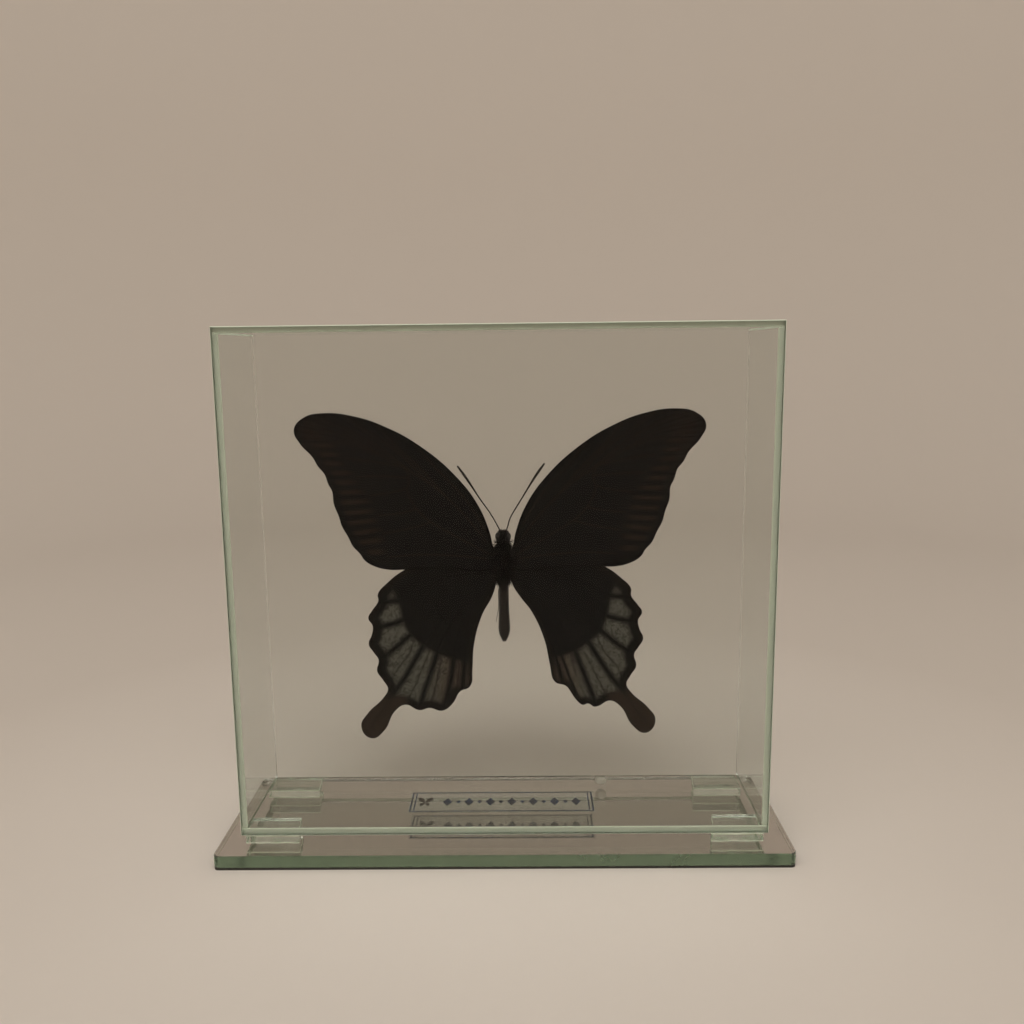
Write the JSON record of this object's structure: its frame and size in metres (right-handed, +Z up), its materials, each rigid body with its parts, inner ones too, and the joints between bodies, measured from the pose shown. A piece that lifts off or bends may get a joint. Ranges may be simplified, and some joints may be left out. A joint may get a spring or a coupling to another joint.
{
  "type": "mounted butterfly in glass case",
  "caption": "Spread black swallowtail butterfly inside a clear rectangular glass case, raised on small glass feet above a mirror base plate",
  "frame": {"origin": "centre of the mirror base's underside", "axes": "+Z up; the front of the case and the butterfly's upper side face -Y; +X is to the viewer's right"},
  "size_m": [0.1842, 0.0566, 0.1694],
  "materials": {
    "case_glass": "clear 2 mm float glass, slightly green at its cut edges",
    "foot_glass": "clear glass offcut with rough broken edges",
    "mirror_glass": "silvered glass plate, brown-grey reflection, polished green edge, dark backing paint",
    "label_film": "clear printed film, blue ruled border, small dark butterfly mark, no lettering",
    "white_glue": "set drop of whitish glue, satin",
    "clear_glue": "set drop of clear glue",
    "body_hair": "fine black-brown hair with grey tips",
    "forewing_scales": "matt near-black brown scales, faint paler rays between the veins",
    "hindwing_scales": "matt black scales with a broad band of grey-blue speckled rays",
    "antenna": "dark brown horn, fine and slightly clubbed"
  },
  "bodies": {
    "root": {"mirror_base": "mirror_glass", "foot_front_left": "foot_glass", "foot_front_right": "foot_glass", "foot_back_left": "foot_glass", "foot_back_right": "foot_glass", "case_front": "case_glass", "case_back": "case_glass", "case_left": "case_glass", "case_right": "case_glass", "case_floor": "case_glass", "case_top": "case_glass", "label": "label_film", "glue_blob": "white_glue", "mounting_glue": "clear_glue", "butterfly_body": "body_hair", "forewing_left": "forewing_scales", "forewing_right": "forewing_scales", "hindwing_left": "hindwing_scales", "hindwing_right": "hindwing_scales", "antenna_left": "antenna", "antenna_right": "antenna"}
  },
  "joints": []
}
